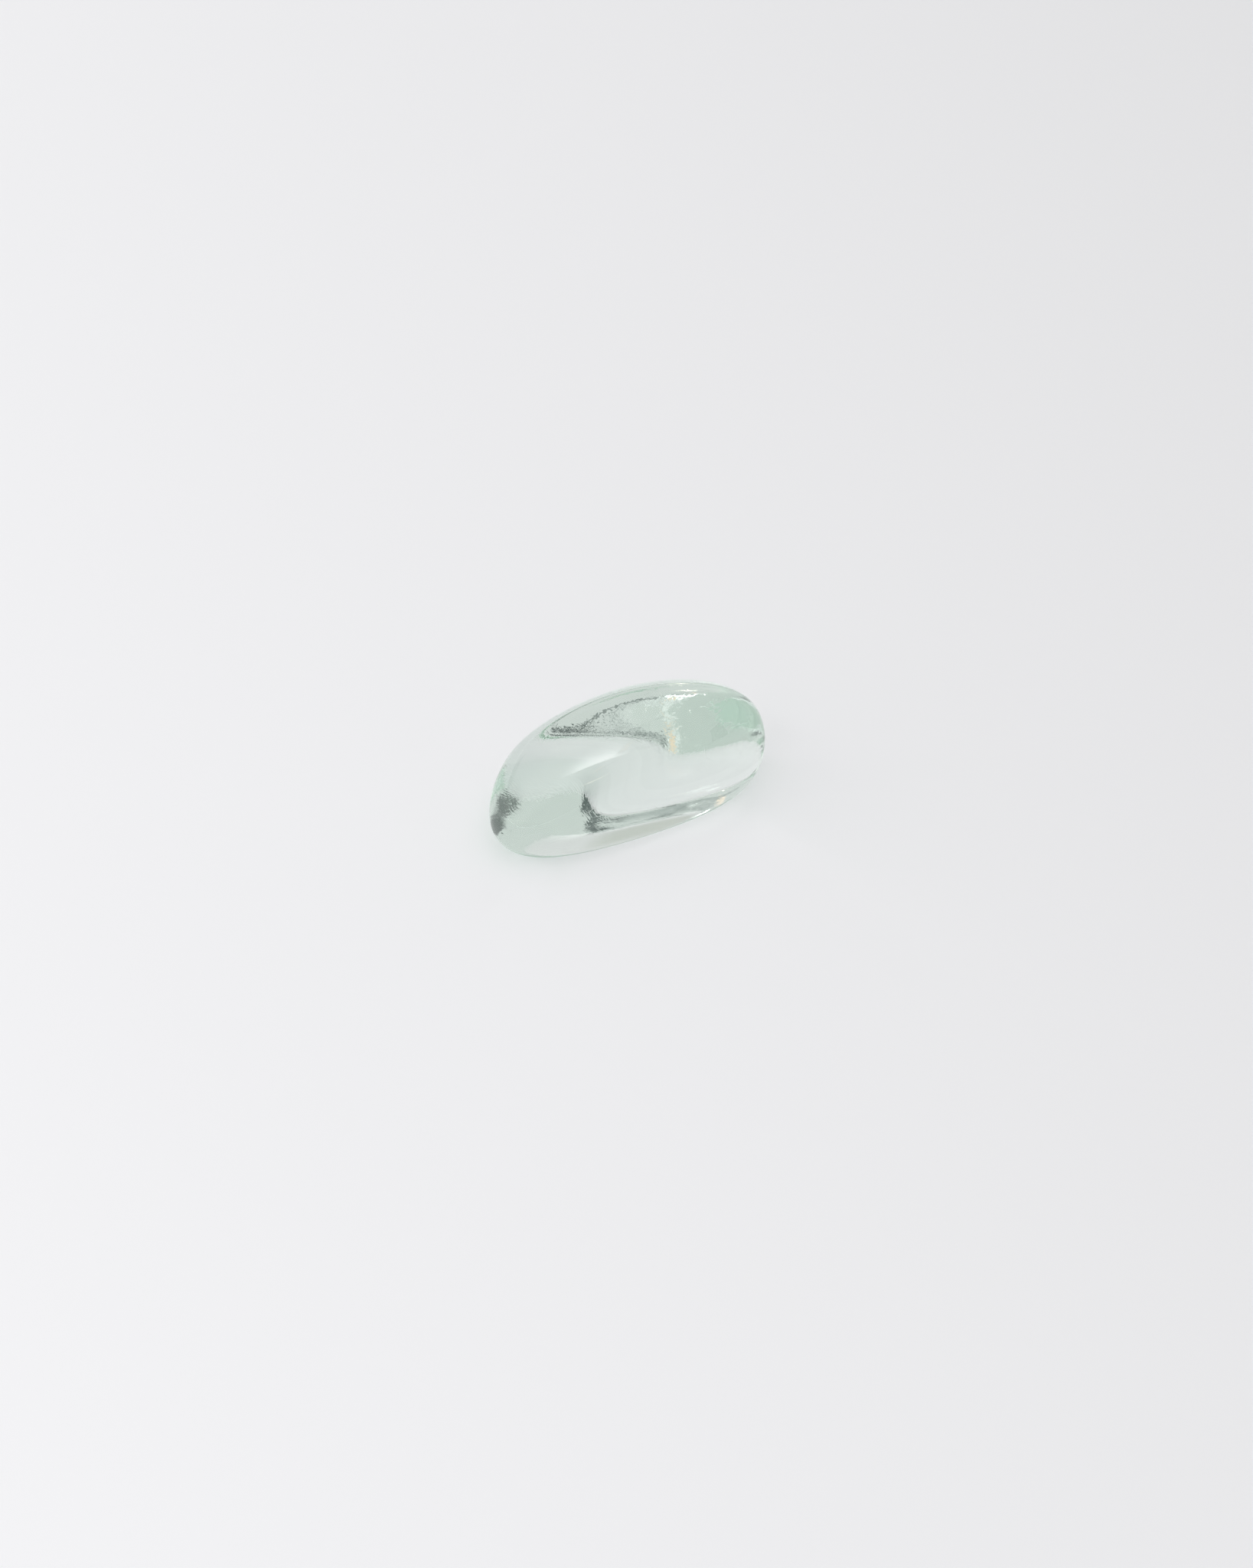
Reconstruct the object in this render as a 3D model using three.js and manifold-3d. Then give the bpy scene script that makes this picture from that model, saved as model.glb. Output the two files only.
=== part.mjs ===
// A tumbled aquamarine: one clear, pale blue-green pebble of beryl, worn smooth and softly
// ridged, lying on its flattest side. Millimetres, +Z up, with the origin on the surface it
// rests on, under the middle of its bounding box, and +X along its length.
import * as THREE from "three";
import { mergeVertices } from "three/addons/utils/BufferGeometryUtils.js";
import Module from "manifold-3d";

// The ellipsoid that the tumbler started to round: its half axes, and how it lies.
const HALF_LENGTH = 14.9;
const HALF_WIDTH = 8.2;
const HALF_HEIGHT = 10.2;
const PITCH = 6.5; // degrees that the +X end is raised
const ROLL = 4.5; // degrees that it is rolled about its length

// The sides that wore flatter than the ellipsoid. Each faces outwards at an azimuth from +X and an
// elevation above the horizon, in degrees, and its plane lies at a distance from the centre.
const WORN_SIDES = [
  { name: "rest side", azimuth: 0, elevation: -90, distance: 5 },
  { name: "back", azimuth: 80, elevation: 10.5, distance: 5.4 },
  { name: "back undercut", azimuth: 77.5, elevation: -24, distance: 7.65 },
  { name: "front", azimuth: 270, elevation: -5.5, distance: 6.5 },
  { name: "front slope", azimuth: 232, elevation: 51, distance: 9.9 },
  { name: "end slope", azimuth: 175, elevation: 52.5, distance: 9.95 },
  { name: "blunt end", azimuth: 148, elevation: 4.5, distance: 15.05 },
  { name: "raised end", azimuth: 338, elevation: 24, distance: 16.7 },
];
const RIDGE_SHARPNESS = 6; // 2 would melt the sides into one egg, and a large number gives crisp ridges
const REST_FLAT_DEPTH = 0.05; // how much the resting spot has worn away
const SPHERE_DETAIL = 17; // 20 * (detail + 1)^2 triangles

const degrees = THREE.MathUtils.degToRad;

function direction({ azimuth, elevation }) {
  const level = Math.cos(degrees(elevation));
  return new THREE.Vector3(
    level * Math.cos(degrees(azimuth)),
    level * Math.sin(degrees(azimuth)),
    Math.sin(degrees(elevation)),
  );
}

const lie = new THREE.Euler(degrees(ROLL), degrees(-PITCH), 0, "ZYX");
const toWorld = new THREE.Matrix4().makeRotationFromEuler(lie);
const toEllipsoid = toWorld.clone().invert();
const planes = WORN_SIDES.map((side) => direction(side).divideScalar(side.distance));

// How far out a point is: 1 on the pebble's surface, less inside and more outside.
function reach(point) {
  const local = point.clone().applyMatrix4(toEllipsoid);
  const round = Math.hypot(local.x / HALF_LENGTH, local.y / HALF_WIDTH, local.z / HALF_HEIGHT);
  const flat = planes.reduce((sum, plane) => sum + Math.max(0, plane.dot(point)) ** RIDGE_SHARPNESS, 0);
  return (round ** RIDGE_SHARPNESS + flat) ** (1 / RIDGE_SHARPNESS);
}

// The pebble's skin: a sphere's points stretched over the ellipsoid, then drawn in to the surface.
function pebbleSkin() {
  const sphere = new THREE.IcosahedronGeometry(1, SPHERE_DETAIL);
  sphere.deleteAttribute("normal");
  sphere.deleteAttribute("uv");
  const skin = mergeVertices(sphere);
  const position = skin.getAttribute("position");
  const point = new THREE.Vector3();
  for (let i = 0; i < position.count; i++) {
    point.fromBufferAttribute(position, i);
    point.set(point.x * HALF_LENGTH, point.y * HALF_WIDTH, point.z * HALF_HEIGHT).applyMatrix4(toWorld);
    point.divideScalar(reach(point));
    position.setXYZ(i, point.x, point.y, point.z);
  }
  skin.computeBoundingBox();
  return skin;
}

// The skin as a solid, less the thin slice worn off where it rests.
async function wornPebble(skin) {
  const wasm = await Module();
  wasm.setup();
  const solid = (geometry) =>
    new wasm.Manifold(
      new wasm.Mesh({
        numProp: 3,
        vertProperties: new Float32Array(geometry.getAttribute("position").array),
        triVerts: new Uint32Array(geometry.index.array),
      }),
    );
  const { min, max } = skin.boundingBox;
  const block = new THREE.BoxGeometry(2 * (max.x - min.x), 2 * (max.y - min.y), 2 * (max.z - min.z));
  block.translate(0, 0, min.z + REST_FLAT_DEPTH - (max.z - min.z));
  block.deleteAttribute("normal");
  block.deleteAttribute("uv");
  const mesh = solid(skin).subtract(solid(mergeVertices(block))).getMesh();
  const worn = new THREE.BufferGeometry();
  worn.setAttribute("position", new THREE.BufferAttribute(new Float32Array(mesh.vertProperties), 3));
  worn.setIndex(new THREE.BufferAttribute(new Uint32Array(mesh.triVerts), 1));
  return worn;
}

const geometry = await wornPebble(pebbleSkin());
geometry.computeBoundingBox();
const { min, max } = geometry.boundingBox;
geometry.translate(-(min.x + max.x) / 2, -(min.y + max.y) / 2, -min.z);
geometry.computeVertexNormals();

const aquamarine = new THREE.MeshStandardMaterial({
  color: new THREE.Color().setRGB(0.78, 0.9, 0.86),
  roughness: 0.04,
  metalness: 0,
  transparent: true,
  opacity: 0.45,
});

const stone = new THREE.Mesh(geometry, aquamarine);
stone.name = "stone";

const pebble = new THREE.Group();
pebble.add(stone);

export default pebble;
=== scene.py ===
"""A tumbled aquamarine pebble of clear, pale blue-green beryl on a pale studio floor."""
import math

import bpy
import numpy as np
from mathutils import Matrix, Vector


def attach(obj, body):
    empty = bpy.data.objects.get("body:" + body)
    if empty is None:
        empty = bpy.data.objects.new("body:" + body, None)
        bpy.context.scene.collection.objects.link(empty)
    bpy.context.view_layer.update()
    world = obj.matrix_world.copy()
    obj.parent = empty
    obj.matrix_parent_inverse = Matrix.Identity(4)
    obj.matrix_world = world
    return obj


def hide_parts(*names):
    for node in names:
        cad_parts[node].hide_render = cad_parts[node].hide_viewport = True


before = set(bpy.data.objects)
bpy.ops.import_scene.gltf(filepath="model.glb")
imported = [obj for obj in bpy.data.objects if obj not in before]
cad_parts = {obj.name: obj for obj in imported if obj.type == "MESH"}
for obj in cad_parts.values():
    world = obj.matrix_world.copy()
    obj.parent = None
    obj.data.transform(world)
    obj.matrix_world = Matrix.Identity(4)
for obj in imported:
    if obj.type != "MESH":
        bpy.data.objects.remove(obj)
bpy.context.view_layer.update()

MM = 0.001

# ---------------------------------------------------------------- the pebble's shape, in mm
# The shape and the camera's angles come from a fit to one photo, to the stone's outline and to the
# edges of its dark bands, with the numbers rounded. What the photo doesn't show is a guess.
# The ellipsoid that the worn sides cut into: its half axes, and how it lies.
HALF_AXES = (14.9, 8.2, 10.2)
PITCH = 6.5  # degrees that the +X end is raised
ROLL = 4.5  # degrees that it is rolled about its length

# The flatter sides, taken to be worn. For each: its azimuth from +X, its elevation above the horizon
# and its distance from the ellipsoid's centre.
WORN_SIDES = {
    "rest side": (0, -90, 5.0),
    "back": (80, 10.5, 5.4),
    "back undercut": (77.5, -24, 7.65),
    "front": (270, -5.5, 6.5),
    "front slope": (232, 51, 9.9),
    "end slope": (175, 52.5, 9.95),
    "blunt end": (148, 4.5, 15.05),
    "raised end": (338, 24, 16.7),
}
RIDGE_SHARPNESS = 6
REST_FLAT_DEPTH = 0.05
SKIN_SUBDIVISIONS = 7  # 81,920 triangles

# ---------------------------------------------------------------- the crystal
BERYL_IOR = 1.577
BERYL_COLOUR = (0.51, 0.75, 0.60)  # the tint of the light that it lets through
BERYL_DENSITY = 20.0  # per metre

# ---------------------------------------------------------------- the camera, mm and degrees
CAMERA_AZIMUTH = -22.1  # round the stone from -Y
CAMERA_ELEVATION = 49.2
CAMERA_DISTANCE = 1200.0
PIXELS_PER_MM = 13.54
IMAGE_SIZE = (1637, 2048)
STONE_PIXEL = (818.2, 1003.0)  # where the middle of the stone's outline falls
AIM_OFFSET = (0.19, 0.16)  # right and up in the view, from the ellipsoid's centre to that middle
SENSOR = 36.0
NEAREST_SEEN, FARTHEST_SEEN = 0.01, 20  # metres

# ---------------------------------------------------------------- the studio
# The photo doesn't show the room. The parts below were placed by working out which directions the
# camera sees through this stone, and were then changed until its bands and streak fell near the
# photo's. A part's name only says what it could be.
# Directions are a bearing, in degrees anticlockwise seen from above, from the right of the camera's
# view (so 90 is behind the stone and 270 towards the camera), and an elevation above the floor.
FLOOR_SIZE = 6.0  # metres
FLOOR_GAP = 0.02  # mm under the stone, so that the two surfaces don't coincide
FLOOR_COLOUR = (0.62, 0.62, 0.625)
FLOOR_ROUGHNESS = 0.6
FLOOR_PAINTED_GLOW = (0.28, 0.28, 0.29)  # painted light: the floor glows though it is no lamp, which lifts the stone's shadows
PAINTED_GLOW_FALL_RIGHT = 2.8  # share of the painted glow that is lost per metre to the right
PAINTED_GLOW_FALL_BEYOND = 0.9  # and away from the camera
ROOM_LIGHT = (0.74, 0.74, 0.745)
BACKDROP_LIGHT = 0.84  # what the camera itself sees of the room

# Parts of the room: middle bearing and elevation, half width and half height, softness of the edge,
# all in degrees, how far its sides lean to the left per degree up, and the light from there.
ROOM_PARTS = {
    "white wall": (188, 22, 26, 30, 12, 0, (1.12, 1.12, 1.1)),
    "ceiling": (188, 90, 180, 24, 14, 0, (1.25, 1.25, 1.25)),
    "back wall": (107, 44, 12, 10, 5, 0, (0.57, 0.59, 0.55)),
    "dark doorway": (347.9, 8, 9.5, 11, 0.8, 0.5, (0.16, 0.17, 0.17)),
    "far doorway": (151, 1, 6, 6.5, 1.5, 0, (0.2, 0.22, 0.22)),
    "right hand": (241, 47.5, 3.5, 2, 1, 0, (1.25, 1.0, 0.86)),
    "desk lamp": (254, 36.3, 4, 1.3, 0.5, -5, (3.6, 3.2, 2.8)),
}

# The strip light hangs level over the stone. Its places are in units of its height above the floor,
# to the right of and beyond the stone as the camera sees it. It is brightest at its near edge.
STRIP_NEAR_EDGE = -0.83  # how far beyond the stone the near edge is, straight over it
STRIP_SLANT = -0.50  # how the near edge comes closer to the camera towards the right
STRIP_DEPTH = 0.40
STRIP_FADE_POWER = 2.0  # how fast it dims over that depth
STRIP_RIGHT = (-1.10, -0.62, -0.45, -0.02)  # starts, is full, starts to fade, ends
STRIP_EDGE = 0.014
STRIP_LIGHT = (5.6, 5.6, 5.6)
STRIP_LOWEST = 0.01  # sine of the elevation under which it isn't worked out

# What hides the strip light in part, as a photographer's head and hand could, written as the room's
# parts are.
NEAR_PARTS = {
    "head": (264, 68, 20, 12, 3, 0, (0.72, 0.74, 0.73)),
    "left hand": (251, 60, 5, 3.5, 1.5, 0, (1.12, 0.86, 0.66)),
}

# Two dark bars, which could be the arms of someone who leans over from the front and reaches to the
# left. For each arm: the bearing and elevation of points along it, chosen from those
# directions, half its width, and the light at its left and right ends.
ARMS = {
    "under arm": {
        "points": (
            (262, 55.5), (270, 53.3), (279, 49.8), (287, 46.8), (294, 44), (297, 42.3), (299.5, 41),
            (303, 40.8), (306, 40.2), (309, 39), (312, 38), (316, 37.2), (320, 35.6),
        ),
        "half": 1.7,
        "left light": (0.28, 0.3, 0.3),
        "right light": (0.08, 0.1, 0.1),
    },
    "over arm": {
        "points": (
            (232, 36), (242, 46), (257, 49.8), (270, 51.8), (284, 52.2), (293, 51), (300, 48.8),
            (305, 47), (309, 45.3), (314, 42.3), (318, 38.6), (319.8, 37.2),
        ),
        "half": 1.0,
        "left light": (0.46, 0.48, 0.48),
        "right light": (0.14, 0.16, 0.16),
    },
}
ARM_EDGE = 0.5
ARM_BEARINGS = (225, 330)  # both are between these
ARM_DARKENS = (298, 308)  # an arm's light goes from its left end's to its right end's between these

# ---------------------------------------------------------------- the tumbled polish, in mm
PEEL_SIZE, PEEL_DEPTH = 0.9, 0.0016  # the faint unevenness all over
END_PEEL_SIZE, END_PEEL_DEPTH = 0.45, 0.0024  # and the finer one at the raised end
END_PEEL_START, END_PEEL_FULL = 4.0, 8.5  # where the finer one begins along +X, and where it is whole
GRAIN_SIZE, GRAIN_DEPTH = 0.12, 0.0022  # the rougher skin low down
GRAIN_TOP, GRAIN_END = 1.5, 3.2  # the grain is whole below the first height and gone above the second
PIT_SPACING, PIT_RADIUS, PIT_DEPTH = 0.42, 0.05, 0.004
PIT_SHARE = 0.4  # of the places for a pit that have one
HAIR_SPACING, HAIR_LENGTH = 1.1, 5.0  # hairline scratches, across and along
HAIR_WIDTH, HAIR_DEPTH = 0.03, 0.0012
HAIR_PATCH = 2.2  # the scratches come in patches of about this size
HAIR_LEVELS = (0.04, 0.1)  # the noise at a patch's edge, and where its scratches are whole
HAIR_TURN = 55  # degrees about +Z that they run from +X

# ---------------------------------------------------------------- the paths of light
CRYSTAL_BOUNCES = 48  # light crosses the stone many times before it leaves
GLOSSY_BOUNCES = 24


def direction(azimuth, elevation):
    a, e = math.radians(azimuth), math.radians(elevation)
    return np.array([math.cos(e) * math.cos(a), math.cos(e) * math.sin(a), math.sin(e)])


def pebble_surface(sphere):
    """A unit sphere's points (n, 3) drawn out to the pebble's surface, in mm, and the normals there."""
    pitch = Matrix.Rotation(math.radians(-PITCH), 3, "Y")
    roll = Matrix.Rotation(math.radians(ROLL), 3, "X")
    lie = np.array(pitch @ roll)
    points = (sphere * HALF_AXES) @ lie.T
    reach = np.ones(len(points))
    slope = (sphere / HALF_AXES) @ lie.T
    for azimuth, elevation, distance in WORN_SIDES.values():
        plane = direction(azimuth, elevation) / distance
        past = np.maximum(0, points @ plane)
        reach += past ** RIDGE_SHARPNESS
        slope += past[:, None] ** (RIDGE_SHARPNESS - 1) * plane
    points /= (reach ** (1 / RIDGE_SHARPNESS))[:, None]
    return points, slope / np.linalg.norm(slope, axis=1)[:, None]


def make_pebble():
    """The pebble, resting on z = 0 under the middle of its box, and its ellipsoid's centre in mm."""
    bpy.ops.mesh.primitive_ico_sphere_add(subdivisions=SKIN_SUBDIVISIONS, radius=1)
    pebble = bpy.context.object
    pebble.name = "pebble"
    mesh = pebble.data
    sphere = np.empty(3 * len(mesh.vertices))
    mesh.vertices.foreach_get("co", sphere)
    sphere = sphere.reshape(-1, 3)
    sphere /= np.linalg.norm(sphere, axis=1)[:, None]
    points, normals = pebble_surface(sphere)
    low, high = points.min(0), points.max(0)
    origin = np.array([(low[0] + high[0]) / 2, (low[1] + high[1]) / 2, low[2] + REST_FLAT_DEPTH])
    points -= origin
    normals[points[:, 2] < 0] = (0, 0, -1)
    points[:, 2] = np.maximum(points[:, 2], 0)
    mesh.vertices.foreach_set("co", (points * MM).ravel())
    mesh.update()
    mesh.shade_smooth()
    mesh.normals_split_custom_set_from_vertices(normals)
    return pebble, Vector(-origin)


def node(tree, kind, **inputs):
    """A new node with its sockets set: numbers and colours as they are, and other sockets linked."""
    made = tree.nodes.new(kind)
    for name, value in inputs.items():
        socket = made.inputs[int(name[1:])] if name[0] == "_" else made.inputs[name.replace("_", " ")]
        if isinstance(value, bpy.types.NodeSocket):
            tree.links.new(value, socket)
        else:
            socket.default_value = value
    return made


def calculate(tree, operation, *values):
    made = node(tree, "ShaderNodeMath", **{f"_{i}": value for i, value in enumerate(values)})
    made.operation = operation
    return made.outputs[0]


def rise(tree, value, low, high, bottom=0.0, top=1.0):
    """From bottom to top as the value goes from low to high, with a soft start and end."""
    limits = {"From_Min": low, "From_Max": high, "To_Min": bottom, "To_Max": top}
    made = node(tree, "ShaderNodeMapRange", Value=value, **limits)
    made.interpolation_type = "SMOOTHSTEP"
    return made.outputs[0]


def mix(tree, factor, first, second):
    made = node(tree, "ShaderNodeMix", _0=factor, _6=first, _7=second)
    made.data_type = "RGBA"
    return made.outputs[2]


def noise(tree, place, size, detail=0.0):
    """Soft random bumps, about -0.5 to 0.5, a size in mm across."""
    made = node(tree, "ShaderNodeTexNoise", Vector=place, Scale=1 / (size * MM), Detail=detail)
    return calculate(tree, "SUBTRACT", made.outputs["Fac"], 0.5)


def pits(tree, place):
    """Small round dents, 0 to -1."""
    cells = node(tree, "ShaderNodeTexVoronoi", Vector=place, Scale=1 / (PIT_SPACING * MM))
    chance = node(tree, "ShaderNodeSeparateColor", Color=cells.outputs["Color"]).outputs[0]
    pit = rise(tree, cells.outputs["Distance"], 0, PIT_RADIUS / PIT_SPACING, -1, 0)
    return calculate(tree, "MULTIPLY", pit, calculate(tree, "LESS_THAN", chance, PIT_SHARE))


def hairlines(tree, place):
    """Thin grooves, 0 to -1, some way apart and in patches."""
    turn = node(tree, "ShaderNodeVectorRotate", Vector=place, Angle=math.radians(-HAIR_TURN))
    turn.rotation_type = "Z_AXIS"
    squeeze = node(tree, "ShaderNodeVectorMath", _0=turn.outputs[0], _1=(HAIR_SPACING / HAIR_LENGTH, 1, 1))
    squeeze.operation = "MULTIPLY"
    cells = node(tree, "ShaderNodeTexVoronoi", Vector=squeeze.outputs[0], Scale=1 / (HAIR_SPACING * MM))
    cells.feature = "DISTANCE_TO_EDGE"
    groove = rise(tree, cells.outputs["Distance"], 0, HAIR_WIDTH / HAIR_SPACING, -1, 0)
    return calculate(tree, "MULTIPLY", groove, rise(tree, noise(tree, place, HAIR_PATCH), *HAIR_LEVELS))


def tumbled_height(tree):
    """The polish's height over the smooth shape, in metres."""
    place = node(tree, "ShaderNodeTexCoord").outputs["Object"]
    height = calculate(tree, "MULTIPLY", noise(tree, place, PEEL_SIZE, detail=1.0), PEEL_DEPTH * MM)
    along, _, level = node(tree, "ShaderNodeSeparateXYZ", Vector=place).outputs
    end = rise(tree, along, END_PEEL_START * MM, END_PEEL_FULL * MM, 0, END_PEEL_DEPTH * MM)
    height = calculate(tree, "MULTIPLY_ADD", noise(tree, place, END_PEEL_SIZE), end, height)
    rubbed = rise(tree, level, GRAIN_TOP * MM, GRAIN_END * MM, GRAIN_DEPTH * MM, 0)
    height = calculate(tree, "MULTIPLY_ADD", noise(tree, place, GRAIN_SIZE), rubbed, height)
    height = calculate(tree, "MULTIPLY_ADD", hairlines(tree, place), HAIR_DEPTH * MM, height)
    return calculate(tree, "MULTIPLY_ADD", pits(tree, place), PIT_DEPTH * MM, height)


def aquamarine():
    material = bpy.data.materials.new("aquamarine")
    material.use_nodes = True
    tree = material.node_tree
    shader = tree.nodes["Principled BSDF"]
    shader.inputs["Base Color"].default_value = (1, 1, 1, 1)
    shader.inputs["Roughness"].default_value = 0.0
    shader.inputs["IOR"].default_value = BERYL_IOR
    shader.inputs["Transmission Weight"].default_value = 1.0
    bump = node(tree, "ShaderNodeBump", Strength=1.0, Distance=1.0, Height=tumbled_height(tree))
    tree.links.new(bump.outputs[0], shader.inputs["Normal"])
    body = node(tree, "ShaderNodeVolumeAbsorption", Color=(*BERYL_COLOUR, 1), Density=BERYL_DENSITY)
    tree.links.new(body.outputs[0], tree.nodes["Material Output"].inputs["Volume"])
    return material


def floor_painted_glow():
    material = bpy.data.materials.new("pale floor, painted glow")
    material.use_nodes = True
    tree = material.node_tree
    shader = tree.nodes["Principled BSDF"]
    shader.inputs["Base Color"].default_value = (*FLOOR_COLOUR, 1)
    shader.inputs["Roughness"].default_value = FLOOR_ROUGHNESS
    shader.inputs["Specular IOR Level"].default_value = 0.0
    # Painted light: an emission on the floor, though it is no lamp, that lifts the stone's shadows and
    # paints the floor's fall-off of light
    shader.inputs["Emission Color"].default_value = (*FLOOR_PAINTED_GLOW, 1)
    place = node(tree, "ShaderNodeTexCoord").outputs["Object"]
    turn = node(tree, "ShaderNodeVectorRotate", Vector=place, Angle=math.radians(-CAMERA_AZIMUTH))
    turn.rotation_type = "Z_AXIS"
    right, beyond, _ = node(tree, "ShaderNodeSeparateXYZ", Vector=turn.outputs[0]).outputs
    # the painted glow dims to the right and away from the camera, brightest to the left and near it
    glow = calculate(tree, "MULTIPLY_ADD", right, -PAINTED_GLOW_FALL_RIGHT, 1.0)
    glow = calculate(tree, "MULTIPLY_ADD", beyond, -PAINTED_GLOW_FALL_BEYOND, glow)
    tree.links.new(calculate(tree, "MAXIMUM", glow, 0.0), shader.inputs["Emission Strength"])
    return material


def make_floor():
    bpy.ops.mesh.primitive_plane_add(size=FLOOR_SIZE, location=(0, 0, -FLOOR_GAP * MM))
    floor = bpy.context.object
    floor.name = "floor"
    floor.data.materials.append(floor_painted_glow())


def make_camera(centre):
    """The camera, aimed from the ellipsoid's centre in mm."""
    back = Vector((
        math.sin(math.radians(CAMERA_AZIMUTH)) * math.cos(math.radians(CAMERA_ELEVATION)),
        -math.cos(math.radians(CAMERA_AZIMUTH)) * math.cos(math.radians(CAMERA_ELEVATION)),
        math.sin(math.radians(CAMERA_ELEVATION)),
    ))
    data = bpy.data.cameras.new("camera")
    camera = bpy.data.objects.new("camera", data)
    bpy.context.collection.objects.link(camera)
    width, height = IMAGE_SIZE
    data.sensor_width = SENSOR
    data.lens = SENSOR * CAMERA_DISTANCE * PIXELS_PER_MM / height
    camera.rotation_mode = "QUATERNION"
    camera.rotation_quaternion = (-back).to_track_quat("-Z", "Y")
    right = camera.rotation_quaternion @ Vector((1, 0, 0))
    up = camera.rotation_quaternion @ Vector((0, 1, 0))
    shift_x = AIM_OFFSET[0] + (width / 2 - STONE_PIXEL[0]) / PIXELS_PER_MM
    shift_y = AIM_OFFSET[1] + (STONE_PIXEL[1] - height / 2) / PIXELS_PER_MM
    camera.location = MM * (centre + CAMERA_DISTANCE * back + shift_x * right + shift_y * up)
    data.clip_start, data.clip_end = NEAREST_SEEN, FARTHEST_SEEN
    bpy.context.scene.camera = camera


def room_part(tree, bearing, elevation, light, part):
    """Paints one part of the room over the light so far."""
    middle, height, half_width, half_height, soft, lean, colour = part
    upright = calculate(tree, "MULTIPLY_ADD", elevation, -lean, bearing)
    turned = calculate(tree, "SUBTRACT", upright, math.radians(middle - lean * height))
    aside = calculate(tree, "ABSOLUTE", calculate(tree, "WRAP", turned, math.pi, -math.pi))
    above = calculate(tree, "ABSOLUTE", calculate(tree, "SUBTRACT", elevation, math.radians(height)))
    across = rise(tree, aside, math.radians(half_width - soft), math.radians(half_width + soft), 1, 0)
    along = rise(tree, above, math.radians(half_height - soft), math.radians(half_height + soft), 1, 0)
    return mix(tree, calculate(tree, "MULTIPLY", across, along), light, (*colour, 1))


def strip_light(tree, right, beyond, up, light):
    """Hangs the strip light in front of the light so far."""
    height = calculate(tree, "MAXIMUM", up, STRIP_LOWEST)
    x = calculate(tree, "DIVIDE", right, height)
    y = calculate(tree, "DIVIDE", beyond, height)
    edge = calculate(tree, "MULTIPLY_ADD", x, STRIP_SLANT, STRIP_NEAR_EDGE)
    past = calculate(tree, "SUBTRACT", y, edge)
    start, full, fading, end = STRIP_RIGHT
    inside = calculate(tree, "MULTIPLY", rise(tree, x, start, full), rise(tree, x, fading, end, 1, 0))
    inside = calculate(tree, "MULTIPLY", inside, rise(tree, past, -STRIP_EDGE, STRIP_EDGE))
    fade = calculate(tree, "POWER", rise(tree, past, 0, STRIP_DEPTH, 1, 0), STRIP_FADE_POWER)
    return mix(tree, calculate(tree, "MULTIPLY", inside, fade), light, (*STRIP_LIGHT, 1))


def arm(tree, bearing, elevation, light, part):
    """Holds one of the arms in front of the light so far."""
    low, high = (math.radians(value) for value in ARM_BEARINGS)
    turned = calculate(tree, "WRAP", bearing, 2 * math.pi, 0.0)
    across = node(tree, "ShaderNodeMapRange", Value=turned, From_Min=low, From_Max=high).outputs[0]
    places = [(math.radians(b), math.radians(e)) for b, e in part["points"]]
    course = node(tree, "ShaderNodeFloatCurve", Value=across)
    knots = course.mapping.curves[0].points  # a new curve has two, one at each end
    for b, e in places[1:-1]:
        knots.new((b - low) / (high - low), e)
    for knot, (b, e) in ((knots[0], places[0]), (knots[-1], places[-1])):
        knot.location = ((b - low) / (high - low), e)
    course.mapping.update()
    off = calculate(tree, "ABSOLUTE", calculate(tree, "SUBTRACT", elevation, course.outputs[0]))
    half, edge = math.radians(part["half"]), math.radians(ARM_EDGE)
    inside = rise(tree, off, half - edge, half + edge, 1, 0)
    left, right = places[0][0], places[-1][0]
    inside = calculate(tree, "MULTIPLY", inside, rise(tree, turned, left - edge, left + edge))
    inside = calculate(tree, "MULTIPLY", inside, rise(tree, turned, right - edge, right + edge, 1, 0))
    darkens = rise(tree, turned, *(math.radians(value) for value in ARM_DARKENS))
    own_light = mix(tree, darkens, (*part["left light"], 1), (*part["right light"], 1))
    return mix(tree, inside, light, own_light)


def make_light():
    """The studio as the stone and the floor see it, with a plain backdrop for the camera."""
    world = bpy.data.worlds.new("studio")
    world.use_nodes = True
    tree = world.node_tree
    look = node(tree, "ShaderNodeTexCoord").outputs["Generated"]
    turn = node(tree, "ShaderNodeVectorRotate", Vector=look, Angle=math.radians(-CAMERA_AZIMUTH))
    turn.rotation_type = "Z_AXIS"
    parts = node(tree, "ShaderNodeSeparateXYZ", Vector=turn.outputs[0])
    right, beyond, up = parts.outputs
    bearing = calculate(tree, "ARCTAN2", beyond, right)
    elevation = calculate(tree, "ARCSINE", up)
    light = (*ROOM_LIGHT, 1)
    for part in ROOM_PARTS.values():
        light = room_part(tree, bearing, elevation, light, part)
    light = strip_light(tree, right, beyond, up, light)
    for part in NEAR_PARTS.values():
        light = room_part(tree, bearing, elevation, light, part)
    for part in ARMS.values():
        light = arm(tree, bearing, elevation, light, part)
    backdrop = (BACKDROP_LIGHT, BACKDROP_LIGHT, BACKDROP_LIGHT, 1)
    light = mix(tree, node(tree, "ShaderNodeLightPath").outputs["Is Camera Ray"], light, backdrop)
    tree.links.new(light, tree.nodes["Background"].inputs["Color"])
    bpy.context.scene.world = world


pebble, centre = make_pebble()
pebble.data.materials.append(aquamarine())
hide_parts("stone")
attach(pebble, "root")
make_floor()
make_camera(centre)
make_light()
bpy.context.scene.view_settings.view_transform = "Standard"
cycles = bpy.context.scene.cycles
cycles.max_bounces = CRYSTAL_BOUNCES
cycles.transmission_bounces = CRYSTAL_BOUNCES
cycles.glossy_bounces = GLOSSY_BOUNCES
cycles.blur_glossy = 0.0  # light that the stone bends onto the floor stays crisp
